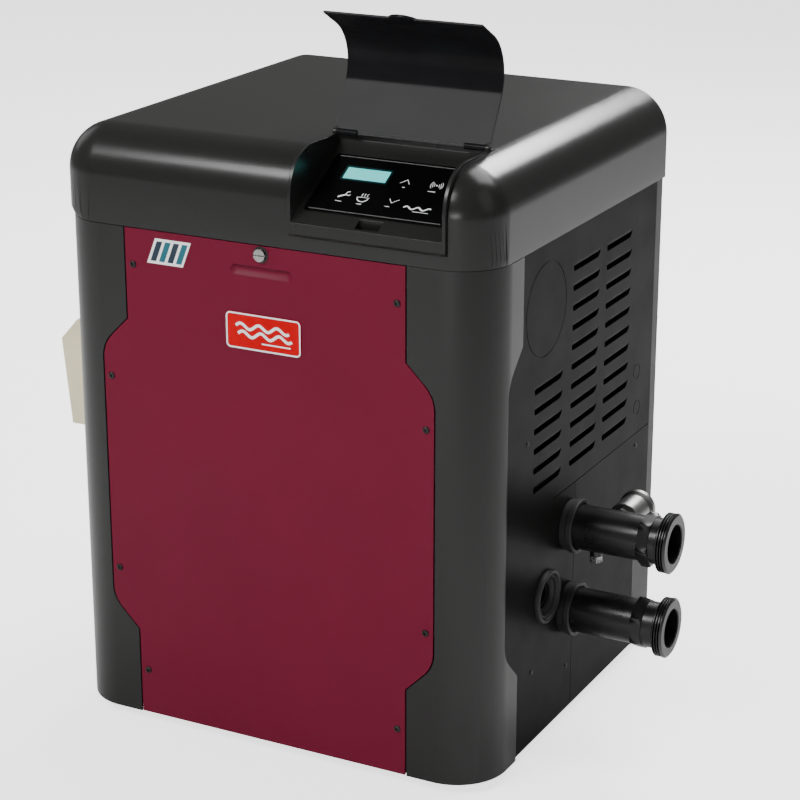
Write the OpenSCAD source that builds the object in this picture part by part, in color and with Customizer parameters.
// Gas pool heater: a sheet metal cabinet on skids with a moulded top cover, a lift-off front door,
// a control pod under a hinged lid, and two water pipes on the right side.
// The origin is the centre of the underside. +X points to the pipes, -Y is the front, +Z is up.

/* [Cabinet] */
// Width across the corner posts
cabinet_w = 616; // [612:1:620]
// Depth from the door face to the back
cabinet_d = 562; // [560:1:566]
// Height of the door opening
opening_h = 676; // [674:1:680]
// Height of the top cover
cover_h = 120; // [118:1:124]
// Height of the skids under the base
skid_h = 14; // [12:1:16]
// Radius of the rounded edges of the top cover
cover_r = 60; // [58:1:62]
// Radius of the upright corners of the posts
post_r = 70; // [68:1:70]
// Wall thickness of the moulded covers and posts
wall = 3; // [2.5:0.5:3]

/* [Door] */
// Half of the door's width at its top and bottom
door_narrow = 199; // [196:1:202]
// Half of the door's width along its middle
door_wide = 238; // [234:1:240]
// Gap between the door and the posts
door_gap = 2; // [1.5:0.5:2.5]
// Thickness of the door skin
door_t = 2.5; // [2:0.5:3]

/* [Control pod] */
// Left side of the control pod, measured from the middle of the cabinet
pod_x0 = 41; // [38:1:44]
// Right side of the control pod
pod_x1 = 254; // [250:1:256]
// Angle at which the lid stands open
lid_open = 119; // [100:1:120]
// Slope of the keypad
keypad_slope = 30; // [28:1:31]

/* [Water side] */
// Height of the outlet pipe above the bottom of the door
outlet_h = 270.5; // [268:0.5:274]
// Height of the inlet pipe above the bottom of the door
inlet_h = 152; // [150:0.5:156]
// Depth of both pipes behind the door face
pipe_d = 266; // [264:1:268]
// Bore radius of the pipe unions
union_bore_r = 25.4; // [25:0.1:26]
// How far the unions reach from the middle of the cabinet
union_end = 453; // [448:1:458]

/* [Side panels] */
// Length of a louvre slot
louvre_l = 86; // [80:1:88]
// Height of a louvre slot
louvre_h = 11; // [9:1:12]
// Spacing of the louvre slots
louvre_pitch = 26.4; // [25:0.1:27]

/* [Hidden] */
$fn = 96;

half_w = cabinet_w / 2;
front_y = -cabinet_d / 2;
rear_y = cabinet_d / 2;
skirt_z = skid_h + opening_h;
top_z = skirt_z + cover_h;

// Centres of the post corners and of the tighter cover corners. Both share the flat faces.
post_x = half_w - post_r;
post_y = front_y + post_r;
corner_x = half_w - cover_r;
corner_y = front_y + cover_r;
seam = 0.5;

// Skids and their anchor holes.
skid_x = 230;
anchor_y = 200;
anchor_r = 5.5;

// The door and the side openings step in at 45 degrees near the top and the bottom.
step_low = hz(121.5);
step_high = hz(555);
step_r = 44;
side_step_high = hz(563);
flange_wide = 101.5;

// Side panels sit just inside the posts.
panel_t = 1.2;
panel_x = half_w - wall - seam;
panel_front = fy(62.2);
panel_rear = fy(541);
panel_top = skirt_z + 10;
access_y0 = fy(283.3);
access_y1 = fy(498);
access_top = hz(325);
access_notch = hz(215);
slit_y0 = fy(212);
slit_l = 100;
slit_h = 1.2;
vent_ring = [fy(178.2), hz(589.4)];
vent_ring_r = 60.6;
knockouts = [[fy(489), hz(417)], [fy(493), hz(363.5)]];
knockout_r = 10.5;
louvre_z = hz(352.5);
exhaust_x = 67;

// Screw places on the side panels, in depth and height.
panel_screw_spots = [
    [fy(127.6), hz(427.6)], [fy(152.3), hz(104.3)], [fy(266), hz(66)], [fy(494.6), hz(307)]];
screw_r = 2;

// Wiring cover on the left panel: its section is drawn outward from the panel.
wiring_y0 = fy(100);
wiring_y1 = fy(230);
wiring_y = fy(165);
wiring_z = hz(420);
wiring_t = 1.5;
wiring_screw_y = [fy(112), fy(218)];
wiring_screw_z = hz(415);
conduit_r = 11.1;

pipe_y = fy(pipe_d);
outlet_z = hz(outlet_h);
inlet_z = hz(inlet_h);
gas_y = fy(196);
gas_z = hz(195);
pipe_hole_r = 33;

// Screw places on the door skin, as half-width and height.
door_screw_spots = [[188, hz(628)], [227.5, hz(474)], [227.5, hz(205.5)], [188, hz(64)]];
latch_z = hz(664);
pivot_y = fy(14);
pivot_z = hz(12);
pivot_x = 150;
pivot_r = 3;
run_gap = 0.05;
pull_z = hz(641);
pull_l = 88;
pull_h = 14;

// Control pod section, in depth behind the door face and height above its bottom.
pod_front = fy(-5);
pod_top = top_z + 1.5;
pod_r = 56;
pod_bottom = hz(694);
pod_rear = fy(128);
pod_wall = 4.5;
lip_z = hz(713);
hinge_y = fy(114);
hinge_z = hz(800);
lid_t = 2.5;
lid_gap = 0.5;
hinge_pin_r = 2;
knuckle_r = 4.2;
knuckle_l = 28;
lid_drop = 8.5;
tab_w = 34;
tab_drop = 7;

catch_x = 147;
catch_w = 32;
lid_front = pod_front - lid_gap - lid_t;
keypad_x = 52;
keypad_y = fy(16);
keypad_w = 191;
keypad_l = 101.5;
keypad_t = 1.5;
display_u = 25;
display_v = 59.5;
display_w = 60;
display_l = 21;
shelf_z = hz(480);

// Water side layout.
header_d = 54;
port_x = 300;
union_x = 406;
tube_outer_r = 30;
tube_bore_r = 24;
bypass_x = 364;
bypass_y = pipe_y + 37;
bypass_z = hz(273);
drain_x = 344;
union_hex_r = 36;
union_hex_l = 15;
outlet_hex_spin = 40;
inlet_hex_spin = 0;
union_thread = 34;
thread_root_r = 37;
union_lip_r = 40;
fin_count = 21;
fin_pitch = 18;
tube_r = 9.5;
tube_rows = [hz(181), hz(241)];
tube_offsets = [-39, -13, 13, 39];
sheet_x = 213;
header_x = 262;
chamber_x = 208;
chamber_y0 = pipe_y - 77;
chamber_y1 = pipe_y + 77;
chamber_z0 = 60;
chamber_z1 = 300;
chamber_t = 12;
collector_base_h = 12;

// Blower layout, on the axis of the flue.
blower_z = 402;
blower_h = 70;
blower_r = 110;
wheel_r = 84;
shaft_r = 4;
duct_y = 150;

// Gas train layout, in the front compartment.
valve_y = fy(156);
knob_x = 128;
manifold_z = 90;
burner_spots = [-2.5, -1.5, -0.5, 0.5, 1.5, 2.5];
gas_bore_r = 13.2;
burner_pitch = 60;
probe_x = 30;
probe_z = 118;

function fy(depth) = -cabinet_d / 2 + depth;
function hz(height) = skid_h + height;
function arc(c, r, a0, a1, n = 8) =
    [for (i = [0:n]) let (a = a0 + (a1 - a0) * i / n) c + r * [cos(a), sin(a)]];
function step_edge(narrow, wide, low, high) =
    let (d = wide - narrow, t = step_r * tan(22.5))
    concat(
        [[narrow, low]],
        arc([wide - step_r, low + d + t], step_r, -45, 0),
        arc([wide - step_r, high - d - t], step_r, 0, 45),
        [[narrow, high]]);
function flip(points) =
    [for (i = [len(points) - 1:-1:0]) [-points[i].x, points[i].y]];
function pod_floor(y) = lip_z + (y - fy(-2)) * tan(keypad_slope);

module block(lo, hi) translate(lo) cube(hi - lo);
module rod_x(p, l, r) translate(p) rotate([0, 90, 0]) cylinder(h = l, r = r);
module rod_y(p, l, r) translate(p) rotate([-90, 0, 0]) cylinder(h = l, r = r);
module rod_z(p, l, r) translate(p) cylinder(h = l, r = r);

// A flat shape drawn in Y and Z, run from x0 to x1.
module along_x(x0, x1) translate([x0, 0, 0]) rotate([90, 0, 90]) linear_extrude(x1 - x0) children();

// A flat shape drawn in X and Z, run from y0 to y1.
module along_y(y0, y1) translate([0, y1, 0]) rotate([90, 0, 0]) linear_extrude(y1 - y0) children();

module both_sides() {
    children();
    mirror([1, 0, 0]) children();
}

// ---- Base ----

module base_pan() color("#3a3a38") {
    difference() {
        translate([0, 0, skid_h]) linear_extrude(27) pan_outline(0);
        translate([0, 0, skid_h + 2]) linear_extrude(40) pan_outline(2);
        anchor_holes(skid_h - 1, 10);
        for (x = [-pivot_x, pivot_x]) block([x - 5, -262, skid_h + 2], [x + 5, -250, skid_h + 40]);
    }
}

module pan_outline(inset)
    polygon([
        [-298 + inset, 258 - inset], [-298 + inset, -222], [-262, -258 + inset],
        [262, -258 + inset], [298 - inset, -222], [298 - inset, 258 - inset]]);

module anchor_holes(z, l)
    for (x = [-skid_x, skid_x], y = [-anchor_y, anchor_y]) rod_z([x, y, z], l, anchor_r);

module base_skids() color("#2c2c2b")
    difference() {
        for (x = [-skid_x, 0, skid_x]) block([x - 30, -240, 0], [x + 30, 240, skid_h]);
        for (x = [-skid_x, 0, skid_x], y = [-110, 110])
            block([x - 22, y - 70, -1], [x + 22, y + 70, skid_h - 3]);
        anchor_holes(-1, skid_h + 2);
    }

// ---- Cabinet skins ----

module post_plan() {
    translate([door_narrow - 2, front_y]) square([post_x - door_narrow + 2, wall]);
    translate([post_x, post_y]) intersection() {
        difference() {
            circle(post_r);
            circle(post_r - wall);
        }
        translate([0, -post_r - 1]) square([post_r + 1, post_r + 1]);
    }
    translate([half_w - wall, post_y]) square([wall, fy(flange_wide) - post_y]);
}

module door_outline(grow, z0, z1) {
    edge = step_edge(door_narrow + grow, door_wide + grow, step_low, step_high);
    right = concat([[door_narrow + grow, z0]], edge, [[door_narrow + grow, z1]]);
    polygon(concat(right, flip(right)));
}

module side_opening(z0, z1) {
    steps = step_edge(door_narrow, door_wide, step_low, side_step_high);
    edge = [for (p = steps) [fy(flange_wide) - p.x + door_narrow, p.y]];
    polygon(concat(
        [[fy(flange_wide) + 20, z0], [fy(flange_wide), z0]],
        edge,
        [[fy(flange_wide), z1], [fy(flange_wide) + 20, z1]]));
}

module corner_post() color("#393936")
    difference() {
        translate([0, 0, skid_h]) linear_extrude(opening_h - seam) post_plan();
        along_y(front_y - 5, front_y + wall + 5) door_outline(door_gap, 0, top_z);
        along_x(half_w - wall - 5, half_w + 5) side_opening(0, top_z);
    }

module corner_post_right() corner_post();
module corner_post_left() mirror([1, 0, 0]) corner_post();

// Cross rail behind the top of the door. It carries the latch receptacle.
module front_rail() color("#8d8f8c")
    difference() {
        block([-286, fy(26), hz(640)], [286, fy(52), hz(688)]);
        block([-310, fy(28), hz(642)], [310, fy(60), hz(686)]);
    }

// Wall of the cover in section: upright skirt, rounded shoulder, and no flat top.
module cover_section() {
    shoulder_z = top_z - cover_r;
    translate([cover_r - wall, skirt_z]) square([wall, shoulder_z - skirt_z]);
    translate([0, shoulder_z]) intersection() {
        difference() {
            circle(cover_r);
            circle(cover_r - wall);
        }
        square(cover_r + 1);
    }
}

module cover_back_outline() {
    edge_x = corner_x + cover_r;
    translate([-edge_x, skirt_z]) square([2 * edge_x, cover_h - cover_r]);
    translate([-corner_x, skirt_z]) square([2 * corner_x, cover_h]);
    for (x = [-corner_x, corner_x]) translate([x, top_z - cover_r]) circle(cover_r);
}

module cover_shell() {
    both_sides() {
        translate([corner_x, corner_y, 0]) rotate([0, 0, -90]) rotate_extrude(angle = 90) cover_section();
        along_y(corner_y, rear_y - wall) translate([corner_x, 0]) cover_section();
    }
    translate([0, corner_y, 0]) along_x(-corner_x, corner_x) mirror([1, 0]) cover_section();
    block([-corner_x, corner_y, top_z - wall], [corner_x, rear_y - wall, top_z]);
    along_y(rear_y - wall, rear_y) cover_back_outline();
}

module top_cover() color("#383835")
    difference() {
        cover_shell();
        block([pod_x0 - seam, fy(-20), pod_bottom - seam], [pod_x1 + seam, pod_rear + seam, top_z + 10]);
    }

module louvre_slot() {
    polygon(concat(
        arc([4, 4], 4, 180, 270, 4),
        arc([louvre_l - louvre_h, louvre_h], louvre_h, -90, 0, 6),
        arc([4, louvre_h - 4], 4, 90, 180, 4)));
}

module louvre_column(y, count)
    for (i = [0:count - 1]) translate([y, louvre_z + i * louvre_pitch]) louvre_slot();

module ring_groove(y, z, r)
    difference() {
        rod_x([panel_x - 0.6, y, z], 2, r + 0.6);
        rod_x([panel_x - 1, y, z], 3, r - 0.6);
    }

module louvres() {
    louvre_column(fy(147), 6);
    louvre_column(fy(261), 11);
    louvre_column(fy(370), 11);
}

module panel_blank() translate([panel_front, hz(1)]) square([panel_rear - panel_front, panel_top - hz(1)]);

module access_outline(grow)
    polygon([
        [access_y0 - grow, 0], [access_y1 + grow, 0], [access_y1 + grow, access_notch - grow],
        [panel_rear + 1, access_notch - grow], [panel_rear + 1, access_top + grow],
        [access_y0 - grow, access_top + grow]]);

module side_panel_right() color("#333331")
    difference() {
        along_x(panel_x - panel_t, panel_x) difference() {
            panel_blank();
            louvres();
            access_outline(0.5);
            translate([slit_y0, access_top - slit_h / 2]) square([slit_l, slit_h]);
            translate([access_y1, 0]) square([60, access_notch]);
        }
        pipe_holes();
        panel_screw_holes();
        ring_groove(vent_ring.x, vent_ring.y, vent_ring_r);
        for (p = knockouts) ring_groove(p.x, p.y, knockout_r);
    }

module pipe_holes() {
    for (z = [outlet_z, inlet_z]) rod_x([panel_x - 10, pipe_y, z], 20, pipe_hole_r);
    rod_x([panel_x - 10, gas_y, gas_z], 20, pipe_hole_r - 1);
}

module header_access_panel() color("#333331")
    difference() {
        along_x(panel_x - panel_t, panel_x) intersection() {
            access_outline(-0.5);
            panel_blank();
        }
        pipe_holes();
        panel_screw_holes();
    }

module side_panel_left() color("#333331")
    mirror([1, 0, 0]) difference() {
        along_x(panel_x - panel_t, panel_x) difference() {
            panel_blank();
            louvres();
        }
        panel_screw_holes();
        wiring_screw_holes();
        rod_x([panel_x - 10, wiring_y, wiring_z], 20, 16);
    }

// The back panel is a pan. Its side flanges widen behind the access panel.
module back_panel() color("#6c6e6b") {
    difference() {
        block([-panel_x, rear_y - 1.5, skid_h], [panel_x, rear_y, skirt_z - seam]);
        block(
            [exhaust_x - 50, rear_y - 5, blower_z + 3],
            [exhaust_x + 50, rear_y + 5, blower_z + blower_h - 3]);
    }
    both_sides() along_x(panel_x - panel_t, panel_x) {
        translate([panel_rear + 1, skid_h])
            square([rear_y - 1.5 - panel_rear - 1, skirt_z - seam - skid_h]);
    }
    along_x(panel_x - panel_t, panel_x)
        translate([access_y1 + 1, skid_h]) square([panel_rear - access_y1, access_notch - skid_h - 1]);
}

module exhaust_grille() color("#a7a9a6") {
    z0 = blower_z - 7;
    z1 = blower_z + blower_h + 7;
    difference() {
        block([exhaust_x - 60, rear_y - 14, z0], [exhaust_x + 60, rear_y - 1.5, z1]);
        block([exhaust_x - 50, rear_y - 20, z0 + 10], [exhaust_x + 50, rear_y + 5, z1 - 10]);
    }
    for (i = [0:4])
        translate([0, 0, z0 + 18 + i * 12]) along_x(exhaust_x - 51, exhaust_x + 51)
            polygon([[rear_y - 11, 0], [rear_y - 3, -5], [rear_y - 3, -3.8], [rear_y - 11, 1.2]]);
}

module panel_screw_holes()
    for (p = panel_screw_spots) rod_x([panel_x - 5, p.x, p.y], 10, screw_r);

module panel_screws() color("#222221")
    both_sides() for (p = panel_screw_spots) {
        rod_x([panel_x, p.x, p.y], 1.4, 3.2);
        rod_x([panel_x - 8, p.x, p.y], 8, screw_r);
    }

// ---- Front door ----

module door_panel() color("#7a2634")
    difference() {
        along_y(front_y, front_y + door_t) difference() {
            door_outline(0, hz(1), skirt_z - 1);
            pull_slot(0);
        }
        door_holes(2.3);
        rod_y([0, front_y - 1, latch_z], 10, 5);
    }

module pull_slot(grow) {
    r = pull_h / 2 + grow;
    translate([-pull_l / 2 + pull_h / 2, pull_z - r]) square([pull_l - pull_h, 2 * r]);
    for (x = [-1, 1]) translate([x * (pull_l - pull_h) / 2, pull_z]) circle(r);
}

module door_holes(r)
    for (p = door_screw_spots, side = [-1, 1]) rod_y([side * p.x, front_y - 1, p.y], 40, r);

// Folded sheet frame behind the skin, with two ears that turn on the pivot pins.
module door_frame() color("#55575a") {
    back = front_y + door_t;
    difference() {
        union() {
            along_y(back, back + 1.5) door_outline(-5, hz(6), skirt_z - 6);
            along_y(back, fy(20)) difference() {
                square_ring(185, hz(8), skirt_z - 8);
                square_ring(183.5, hz(9.5), skirt_z - 9.5);
            }
        }
        along_y(back - 1, fy(30)) square_ring(150, hz(60), hz(651));
        door_holes(2.3);
        rod_y([0, front_y - 1, latch_z], 40, 5);
        for (x = [-pivot_x, pivot_x]) block([x - 14, back + 1.5, hz(0)], [x + 14, fy(30), hz(9.6)]);
    }
    difference() {
        for (x = [-pivot_x - 8, pivot_x + 5]) block([x, back + 1.5, hz(7)], [x + 3, pivot_y + 6, hz(19)]);
        for (x = [-1, 1]) rod_x([x * pivot_x - 20, pivot_y, pivot_z], 40, pivot_r + run_gap);
    }
}

module square_ring(half, z0, z1) translate([-half, z0]) square([2 * half, z1 - z0]);

module door_pull_cup() color("#4d1a24")
    difference() {
        along_y(front_y + door_t, fy(15)) pull_slot(1.5);
        along_y(front_y + door_t - 1, fy(13.5)) pull_slot(0);
    }

module door_screws() color("#2a2326")
    for (p = door_screw_spots, side = [-1, 1]) {
        rod_y([side * p.x, front_y - 2.2, p.y], 2.2, 4.6);
        rod_y([side * p.x, front_y, p.y], 10, screw_r);
    }

// Slotted quarter-turn latch. Its plain shank reaches between the receptacle's prongs.
module latch_screw() color("#c9c9c7")
    difference() {
        union() {
            rod_y([0, front_y - 5, latch_z], 4.6, 8);
            rod_y([0, front_y - 0.4, latch_z], 24.4, 4.9);
        }
        block([-9, front_y - 6, latch_z - 0.9], [9, front_y - 3, latch_z + 0.9]);
    }

module latch_receptacle() color("#b5b6b3") {
    block([-22, fy(24.5), latch_z - 9], [22, fy(26), latch_z + 9]);
    block([-12, fy(14), latch_z + 5.6], [12, fy(24.5), latch_z + 8]);
    block([-12, fy(14), latch_z - 8], [12, fy(24.5), latch_z - 5.6]);
}

// Angle brackets on the base that carry the pins the door turns on.
module door_pivot_brackets() color("#a2a4a1")
    for (x = [-pivot_x, pivot_x]) {
        block([x - 4, pivot_y - 5, skid_h + 2], [x + 4, fy(40), skid_h + 4]);
        block([x - 4, pivot_y - 5, skid_h + 4], [x + 4, pivot_y + 5, pivot_z + 5]);
        rod_x([x - 12, pivot_y, pivot_z], 24, pivot_r);
    }

module badge_plate() color("#c8102e")
    difference() {
        along_y(front_y - 1.5, front_y) rounded_rect([2, hz(563)], 107, 47, 6);
        along_y(front_y - 2, front_y - 1) difference() {
            rounded_rect([2, hz(563)], 103, 43, 4.5);
            rounded_rect([2, hz(563)], 100, 40, 3.5);
        }
    }

module rounded_rect(c, w, h, r) {
    translate([c.x - w / 2 + r, c.y - h / 2]) square([w - 2 * r, h]);
    translate([c.x - w / 2, c.y - h / 2 + r]) square([w, h - 2 * r]);
    for (x = [-1, 1], y = [-1, 1]) translate([c.x + x * (w / 2 - r), c.y + y * (h / 2 - r)]) circle(r);
}

// Small trim emblem: three plain slanted bars.
module emblem_plate() color("#dfe3e4")
    along_y(front_y - 1, front_y)
        for (i = [0:2]) translate([-164 + 20 * i, hz(636)])
            polygon([[0, 0], [9, 0], [21, 27], [12, 27]]);

// ---- Wiring cover on the left ----

module wiring_section(t)
    polygon([
        [panel_x, hz(355) + t], [half_w + 57 - t, hz(355) + t], [half_w + 69 - t, hz(475) - t / 2],
        [half_w + 42, hz(505) - t], [panel_x, hz(505) - t]]);

module wiring_cover() color("#cbc6b6")
    mirror([1, 0, 0]) difference() {
        along_y(wiring_y0, wiring_y1) wiring_section(0);
        along_y(wiring_y0 + wiring_t, wiring_y1 - wiring_t) wiring_section(wiring_t);
        rod_z([half_w + 25, wiring_y, hz(340)], 30, conduit_r);
        for (y = wiring_screw_y) rod_x([half_w, y, wiring_screw_z], 100, screw_r);
    }

module wiring_screw_holes()
    for (y = wiring_screw_y) rod_x([panel_x - 5, y, wiring_screw_z], 10, screw_r);

module wiring_cover_screws() color("#8f8f8c")
    mirror([1, 0, 0]) for (y = wiring_screw_y) {
        rod_x([half_w + 63.5, y, wiring_screw_z], 3, 4.5);
        rod_x([panel_x - 8, y, wiring_screw_z], half_w + 63.5 - panel_x + 8, screw_r);
    }

module terminal_block() color("#2f3d52")
    mirror([1, 0, 0]) difference() {
        block([panel_x, wiring_y - 30, hz(440)], [panel_x + 20, wiring_y + 30, hz(465)]);
        for (i = [-2:2]) rod_x([panel_x + 12, wiring_y + i * 11, hz(452)], 10, 3.5);
    }

// ---- Control pod ----

module pod_outline()
    polygon(concat(
        [[pod_front + 4, pod_bottom], [pod_front, pod_bottom + 4]],
        arc([pod_front + pod_r, pod_top - pod_r], pod_r, 180, 90, 16),
        [[pod_rear, pod_top], [pod_rear, pod_floor(pod_rear) - 8], [fy(20), pod_floor(fy(20)) - 8],
         [fy(18), lip_z - 12], [fy(8), pod_bottom]]));

module pod_cavity()
    polygon([
        [fy(-20), pod_floor(fy(-20))], [fy(106), pod_floor(fy(106))], [fy(119), hz(791)],
        [fy(119), top_z + 20], [fy(-20), top_z + 20]]);

module control_housing() color("#31312f")
    difference() {
        union() {
            along_x(pod_x0, pod_x1) pod_outline();
            rod_x([pod_x0, hinge_y, hinge_z], pod_wall, 4.5);
            rod_x([pod_x1 - pod_wall, hinge_y, hinge_z], pod_wall, 4.5);
        }
        along_x(pod_x0 + pod_wall, pod_x1 - pod_wall) pod_cavity();
        rod_x([pod_x0 - 5, hinge_y, hinge_z], 300, hinge_pin_r);
        block([catch_x - catch_w / 2, fy(-1.5), lip_z - 6], [catch_x + catch_w / 2, fy(12.5), lip_z + 20]);
    }

// Places on the sloping floor of the pod, measured from the keypad's lower left corner.
module on_keypad()
    translate([keypad_x, keypad_y, pod_floor(keypad_y)]) rotate([keypad_slope, 0, 0]) children();

module keypad_overlay() color("#0c0d0e")
    on_keypad() linear_extrude(keypad_t) difference() {
        rounded_rect([keypad_w / 2, keypad_l / 2], keypad_w, keypad_l, 3);
        translate([display_u, display_v]) square([display_w, display_l]);
    }

module display_lens() color("#96e1df")
    on_keypad() translate([display_u, display_v, 0]) cube([display_w, display_l, keypad_t - 0.3]);

module control_board() color("#1f5a38")
    on_keypad() {
        block([8, 8, -16], [keypad_w - 8, 92, -14.4]);
        block([20, 54, -14.4], [88, 84, -12.6]);
        for (i = [0:3]) block([20 + 22 * i, 14, -24], [36 + 22 * i, 28, -16]);
        for (i = [0:1]) translate([130 + 26 * i, 64, -30]) cylinder(h = 14, r = 7);
        block([115, 18, -22], [150, 44, -16]);
    }

// The lid as it lies when it is shut, before it is turned up.
module lid_shut() {
    difference() {
        along_x(pod_x0, pod_x1) lid_section();
        block([pod_x0 - 1, fy(108), top_z - 10], [pod_x1 + 1, fy(130), top_z + 20]);
    }
    x0 = pod_x0 + pod_wall + 0.6;
    x1 = pod_x1 - pod_wall - 0.6;
    for (x = [x0, x1 - knuckle_l]) rod_x([x, hinge_y, hinge_z], knuckle_l, knuckle_r);
    block([x0, fy(107), pod_top + lid_gap], [x1, hinge_y + 2, pod_top + lid_gap + lid_t]);
    lid_tab(lip_z + lid_gap - lid_drop);
}

// Rounded finger tab that hangs below the free edge of the lid.
module lid_tab(edge_z) {
    r = (tab_w * tab_w / 4 + tab_drop * tab_drop) / (2 * tab_drop);
    along_y(lid_front - 1, lid_front + lid_t) intersection() {
        translate([catch_x, edge_z - tab_drop + r]) circle(r);
        translate([catch_x - r, edge_z - tab_drop]) square([2 * r, tab_drop + 5]);
    }
}

module lid_section() {
    inner = pod_r + lid_gap;
    c = [pod_front + pod_r, pod_top - pod_r];
    translate(c) intersection() {
        difference() {
            circle(inner + lid_t);
            circle(inner);
        }
        translate([-inner - lid_t - 1, 0]) square(inner + lid_t + 1);
    }
    translate([c.x, c.y + inner]) square([fy(120) - c.x, lid_t]);
    translate([c.x - inner - lid_t, lip_z + lid_gap - lid_drop])
        square([lid_t, c.y - lip_z - lid_gap + lid_drop]);
}

module control_lid() color("#151516", 0.85)
    translate([0, hinge_y, hinge_z]) rotate([-lid_open, 0, 0]) translate([0, -hinge_y, -hinge_z])
        difference() {
            lid_shut();
            rod_x([pod_x0 - 5, hinge_y, hinge_z], 300, hinge_pin_r + run_gap);
        }

module lid_hinge_pins() color("#b9bab8") {
    rod_x([pod_x0 - 1, hinge_y, hinge_z], pod_wall + 24, hinge_pin_r);
    rod_x([pod_x1 - pod_wall - 23, hinge_y, hinge_z], pod_wall + 24, hinge_pin_r);
}

// ---- Electrical parts inside ----

module electrical_shelf() color("#9b9d9a") {
    block([-panel_x + panel_t, -212, shelf_z - 2], [-90, -110, shelf_z]);
    block([-panel_x + panel_t, -212, shelf_z - 32], [-panel_x + panel_t + 2, -110, shelf_z - 2]);
}

module transformer() color("#5d5347") {
    difference() {
        block([-280, -196, shelf_z], [-210, -136, shelf_z + 58]);
        block([-268, -200, shelf_z + 14], [-222, -130, shelf_z + 44]);
    }
    block([-264, -204, shelf_z + 16], [-226, -128, shelf_z + 42]);
}

module ignition_module() color("#2b3b58") {
    block([-195, -202, shelf_z], [-100, -122, shelf_z + 34]);
    for (i = [0:5]) block([-188 + i * 14, -200, shelf_z + 34], [-180 + i * 14, -192, shelf_z + 43]);
    rod_z([-120, -140, shelf_z + 34], 14, 7);
}

// ---- Water side ----

module header_block(z0, z1) {
    difference() {
        block([sheet_x, -header_d, z0], [header_x, header_d, z1]);
        block([sheet_x + 6, 6 - header_d, z0 + 6], [header_x - 6, header_d - 6, z1 - 6]);
    }
}

module tube_holes(x, l, r)
    for (z = tube_rows, y = tube_offsets) rod_x([x, pipe_y + y, z], l, r);

module water_header() color("#2a2a2b") {
    z_split = hz(211);
    difference() {
        union() {
            translate([0, pipe_y, 0]) header_block(hz(105), hz(317));
            block([sheet_x, pipe_y - header_d, z_split - 3], [header_x, pipe_y + header_d, z_split + 3]);
            for (z = [outlet_z, inlet_z]) rod_x([header_x, pipe_y, z], port_x - header_x, 34);
        }
        for (z = [outlet_z, inlet_z]) rod_x([header_x - 8, pipe_y, z], 60, tube_bore_r);
        tube_holes(sheet_x - 1, 8, tube_r - 1.5);
        rod_z([238, pipe_y, hz(305)], 20, 5);
    }
}

module return_header() color("#2a2a2b")
    mirror([1, 0, 0]) difference() {
        translate([0, pipe_y, 0]) header_block(hz(165), hz(257));
        tube_holes(sheet_x - 1, 8, tube_r - 1.5);
    }

module heat_exchanger_tubes() color("#b06b3c")
    difference() {
        tube_holes(-sheet_x, 2 * sheet_x, tube_r);
        tube_holes(-sheet_x - 1, 2 * sheet_x + 2, tube_r - 1.5);
    }

module heat_exchanger_fins() color("#c07a46")
    for (i = [0:fin_count - 1]) {
        x = -fin_pitch * (fin_count - 1) / 2 + i * fin_pitch;
        difference() {
            block([x, pipe_y - 58, hz(160)], [x + 0.8, pipe_y + 58, hz(262)]);
            tube_holes(x - 1, 3, tube_r);
        }
    }

// Union with its wrench hexagon at the given distance from its inner end.
module threaded_union(hex_at, spin)
    difference() {
        rotate([0, 90, 0]) union() {
            cylinder(h = union_thread + 1, r = tube_outer_r);
            translate([0, 0, hex_at]) rotate([0, 0, spin])
                cylinder(h = union_hex_l, r = union_hex_r, $fn = 6);
            rotate_extrude() thread_section();
        }
        rod_x([-1, 0, 0], union_end - union_x + 2, union_bore_r);
    }

// Ridges of the union's outside thread and its end lip, in radius and distance along the pipe.
module thread_section() {
    l = union_end - union_x;
    ridges = [
        for (i = [0:3], q = [[0, 0], [0.9, 2], [1.7, 2], [2.6, 0]])
            [thread_root_r + q.y, union_thread + i * 2.7 + q.x]];
    polygon(concat(
        [[union_bore_r - 1, union_thread]], ridges,
        [[union_lip_r, l - 1.6], [union_lip_r, l - 0.8], [union_lip_r - 0.8, l], [union_bore_r - 1, l]]));
}

module pipe_unions() color("#232324") {
    translate([union_x, pipe_y, outlet_z]) threaded_union(5, outlet_hex_spin);
    translate([union_x, pipe_y, inlet_z]) threaded_union(0, inlet_hex_spin);
}

module plain_tube(z) rod_x([port_x, pipe_y, z], union_x - port_x, tube_outer_r);

module outlet_tube() color("#232324")
    difference() {
        union() {
            plain_tube(outlet_z);
            rod_y([bypass_x, pipe_y + 10, bypass_z], bypass_y - pipe_y - 10, 14);
            rod_z([drain_x, pipe_y, outlet_z - 36], 20, 8);
        }
        rod_x([port_x - 1, pipe_y, outlet_z], 200, tube_bore_r);
        rod_y([bypass_x, pipe_y + 10, bypass_z], 30, 9);
        rod_z([drain_x, pipe_y, outlet_z - 40], 20, 4);
    }

module inlet_tube() color("#232324")
    difference() {
        plain_tube(inlet_z);
        rod_x([port_x - 1, pipe_y, inlet_z], 200, tube_bore_r);
    }

// Stepped rings that seal the tubes in the side panel.
module pipe_wall_flanges() color("#1b1b1c") {
    ring_x = half_w + 5;
    for (z = [outlet_z, inlet_z]) translate([0, pipe_y, z]) rotate([0, 90, 0]) rotate_extrude()
        polygon([
            [tube_outer_r, panel_x - 4], [pipe_hole_r - 0.1, panel_x - 4], [pipe_hole_r - 0.1, panel_x],
            [34.5, panel_x], [34.5, ring_x], [36.3, ring_x + 0.8], [36.3, ring_x + 8], [35.5, ring_x + 8.8],
            [31.5, ring_x + 8.8], [31.5, ring_x + 4], [tube_outer_r, ring_x + 4]]);
}

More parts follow.
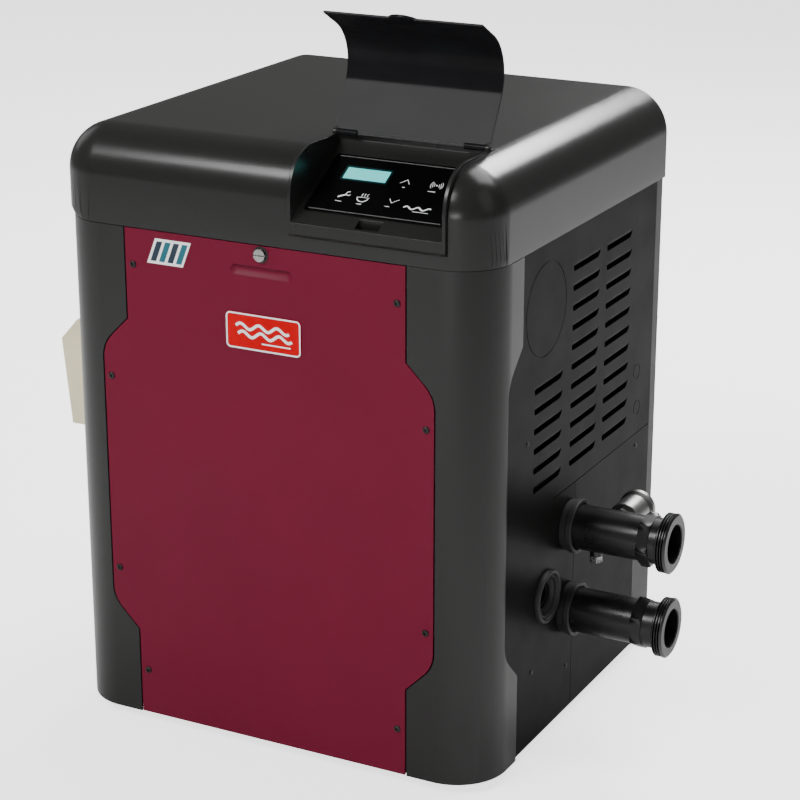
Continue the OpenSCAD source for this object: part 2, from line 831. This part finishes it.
// Bonnet of the bypass valve on the back of the outlet tube: a hexagon and a wide ring.
module bypass_cap() color("#d5d6d6")
    translate([bypass_x, bypass_y, bypass_z]) rotate([-90, 0, 0]) difference() {
        union() {
            rotate([0, 0, 22]) cylinder(h = 50, r = 16.4, $fn = 6);
            rotate_extrude() polygon([
                [8, 49], [20, 49], [24.5, 51], [24.5, 58], [23, 59.5], [18, 59.5], [17, 61], [8, 61]]);
        }
        translate([0, 0, -1]) cylinder(h = 34, r = 12);
        translate([0, 0, 56]) cylinder(h = 6, r = 9);
    }

module drain_plug() color("#c9cbca") {
    rod_z([drain_x, pipe_y, outlet_z - 36], 11, 4);
    translate([drain_x, pipe_y, outlet_z - 45]) cylinder(h = 9, r = 9, $fn = 6);
}

module pressure_switch() color("#6f7377") {
    rod_z([238, pipe_y, hz(309)], 16, 5);
    rod_z([238, pipe_y, hz(317)], 8, 9);
    rod_z([238, pipe_y, hz(325)], 16, 17);
    block([232, pipe_y - 4, hz(341)], [244, pipe_y + 4, hz(349)]);
}

module limit_switch() color("#b9b4a2") {
    rod_z([-238, pipe_y, hz(257)], 3, 14);
    rod_z([-238, pipe_y, hz(260)], 9, 9);
}

// ---- Burner and gas train ----

module combustion_chamber() color("#b8b09c")
    difference() {
        union() {
            difference() {
                block([-chamber_x, chamber_y0, chamber_z0], [chamber_x, chamber_y1, chamber_z1]);
                block(
                    [chamber_t - chamber_x, chamber_y0 + chamber_t, 0],
                    [chamber_x - chamber_t, chamber_y1 - chamber_t, 400]);
            }
            for (x = [-chamber_x, chamber_x - chamber_t], y = [chamber_y0, chamber_y1 - chamber_t])
                block([x, y, skid_h + 2], [x + chamber_t, y + chamber_t, chamber_z0]);
        }
        tube_holes(-300, 600, tube_r);
        for (i = burner_spots) rod_y([i * burner_pitch, chamber_y0 - 5, manifold_z], 25, 11);
        for (x = [-probe_x, probe_x]) rod_y([x, chamber_y0 - 5, probe_z], 25, 3);
    }

module burner_tubes() color("#8f9294")
    for (i = burner_spots) difference() {
        rod_y([i * burner_pitch, chamber_y0 - 8, manifold_z], 140, 11);
        rod_y([i * burner_pitch, chamber_y0 - 9, manifold_z], 138, 9.5);
        for (k = [0:8])
            block(
                [i * burner_pitch - 6, chamber_y0 + 22 + k * 12, manifold_z + 5],
                [i * burner_pitch + 6, chamber_y0 + 25 + k * 12, manifold_z + 20]);
    }

module gas_manifold() color("#4c4e50")
    difference() {
        union() {
            rod_x([-175, valve_y, manifold_z], 350, 10);
            for (i = burner_spots) rod_y([i * burner_pitch, valve_y, manifold_z], 22, 5);
            rod_z([95, valve_y, manifold_z], gas_z - 30 - manifold_z, 9);
        }
        rod_x([-168, valve_y, manifold_z], 336, 7);
        for (i = burner_spots) rod_y([i * burner_pitch, valve_y, manifold_z], 30, 1.2);
        rod_z([95, valve_y, manifold_z], 100, 6);
    }

module gas_valve() color("#8b8f92") {
    difference() {
        block([60, valve_y - 27, gas_z - 30], [150, valve_y + 27, gas_z + 28]);
        rod_x([120, valve_y, gas_z], 40, 10.5);
        rod_z([95, valve_y, gas_z - 40], 30, 6);
    }
    rod_z([knob_x, valve_y, gas_z + 28], 13, 4);
    rod_z([82, valve_y, gas_z + 28], 24, 15);
    rod_y([105, valve_y - 33, gas_z], 6, 20);
}

module gas_valve_knob() color("#b3202b")
    difference() {
        union() {
            rod_z([knob_x, valve_y, gas_z + 29], 10, 14);
            block([knob_x - 3, valve_y - 18, gas_z + 33], [knob_x + 3, valve_y + 10, gas_z + 45]);
        }
        rod_z([knob_x, valve_y, gas_z + 20], 21.5, 4 + run_gap);
    }

module gas_run(r, grow) {
    rod_x([240, gas_y, gas_z], port_x - 240 + grow, r);
    rod_y([240, valve_y, gas_z], gas_y - valve_y, r);
    rod_x([150 - grow, valve_y, gas_z], 90 + grow, r);
    for (y = [gas_y, valve_y]) translate([240, y, gas_z]) sphere(r);
}

module gas_inlet_pipe() color("#3d3f41")
    difference() {
        union() {
            gas_run(12.5, 0);
            rod_x([270, gas_y, gas_z], 28, 17);
        }
        gas_run(9.5, 2);
        rod_x([278, gas_y, gas_z], 30, gas_bore_r);
    }

module gas_grommet() color("#1b1b1c")
    translate([0, gas_y, gas_z]) rotate([0, 90, 0]) rotate_extrude()
        polygon([
            [18, 298], [pipe_hole_r - 1.1, 298], [pipe_hole_r - 1.1, panel_x], [36, panel_x],
            [36, half_w + 1], [34.5, half_w + 2.5], [28.5, half_w + 2.5], [28.5, 301], [18, 301]]);

module probe(x) {
    rod_y([x, chamber_y0 - 22, probe_z], 22, 6.5);
    rod_y([x, chamber_y0, probe_z], 48, 3);
}

module igniter() color("#e3dfd2") probe(-probe_x);
module flame_sensor() color("#dcd6c6") probe(probe_x);

// ---- Blower and flue ----

module collector_shape(inset) {
    w = chamber_x - inset;
    hull() {
        translate([-w, chamber_y0 + inset, chamber_z1])
            cube([2 * w, chamber_y1 - chamber_y0 - 2 * inset, collector_base_h]);
        translate([0, pipe_y, blower_z - 10]) cylinder(h = 0.1, r = 60 - inset, $fn = 32);
    }
}

module flue_collector() color("#9a9c9b") {
    difference() {
        collector_shape(0);
        collector_shape(2);
        block([-chamber_x + 2, chamber_y0 + 2, 200], [chamber_x - 2, chamber_y1 - 2, chamber_z1 + 1]);
        rod_z([0, pipe_y, blower_z - 20], 40, 56);
    }
    difference() {
        rod_z([0, pipe_y, blower_z - 10], 10, 60);
        rod_z([0, pipe_y, blower_z - 11], 12, 57);
    }
}

module scroll_shape(inset) {
    rod_z([0, pipe_y, blower_z + inset], blower_h - 2 * inset, blower_r - inset);
    block(
        [25 + inset, pipe_y, blower_z + inset],
        [blower_r - inset, duct_y + (inset > 0 ? 5 : 0), blower_z + blower_h - inset]);
}

module blower_housing() color("#8a8d8f")
    difference() {
        scroll_shape(0);
        scroll_shape(2);
        rod_z([0, pipe_y, blower_z - 5], 20, 56);
        rod_z([0, pipe_y, blower_z + blower_h - 10], 20, 12);
    }

module blower_wheel() color("#a4a8ab")
    translate([0, pipe_y, 0]) difference() {
        union() {
            rod_z([0, 0, blower_z + 57], 3, wheel_r);
            rod_z([0, 0, blower_z + 40], 20, 14);
            difference() {
                rod_z([0, 0, blower_z + 6], 3, wheel_r);
                rod_z([0, 0, blower_z + 5], 5, wheel_r - 14);
            }
            for (i = [0:23]) rotate([0, 0, i * 15])
                block([wheel_r - 13, -0.75, blower_z + 8], [wheel_r - 1, 0.75, blower_z + 58]);
        }
        rod_z([0, 0, blower_z + 30], 40, shaft_r);
    }

module motor_shaft() color("#c4c6c7") rod_z([0, pipe_y, blower_z + 40], 106, shaft_r);

module blower_motor() color("#3b4148")
    translate([0, pipe_y, blower_z + blower_h]) difference() {
        union() {
            rod_z([0, 0, 0], 3, 58);
            rod_z([0, 0, 3], 62, 44);
            rod_z([0, 0, 65], 6, 16);
        }
        rod_z([0, 0, -1], 80, shaft_r + run_gap);
        for (a = [45:90:315]) rotate([0, 0, a]) rod_z([51, 0, -1], 6, 2.5);
    }

module exhaust_duct() color("#8a8d8f")
    difference() {
        block([25, duct_y, blower_z], [blower_r, rear_y - 14, blower_z + blower_h]);
        block([27, duct_y - 1, blower_z + 2], [blower_r - 2, rear_y, blower_z + blower_h - 2]);
    }

base_pan();
base_skids();
corner_post_left();
corner_post_right();
front_rail();
top_cover();
side_panel_left();
side_panel_right();
header_access_panel();
back_panel();
exhaust_grille();
panel_screws();
door_panel();
door_frame();
door_pull_cup();
door_screws();
latch_screw();
latch_receptacle();
door_pivot_brackets();
badge_plate();
emblem_plate();
wiring_cover();
wiring_cover_screws();
terminal_block();
control_housing();
keypad_overlay();
display_lens();
control_board();
control_lid();
lid_hinge_pins();
transformer();
ignition_module();
electrical_shelf();
water_header();
return_header();
heat_exchanger_tubes();
heat_exchanger_fins();
combustion_chamber();
burner_tubes();
gas_manifold();
gas_valve();
gas_valve_knob();
gas_inlet_pipe();
gas_grommet();
igniter();
flame_sensor();
flue_collector();
blower_housing();
blower_wheel();
motor_shaft();
blower_motor();
exhaust_duct();
outlet_tube();
inlet_tube();
pipe_unions();
pipe_wall_flanges();
bypass_cap();
drain_plug();
pressure_switch();
limit_switch();
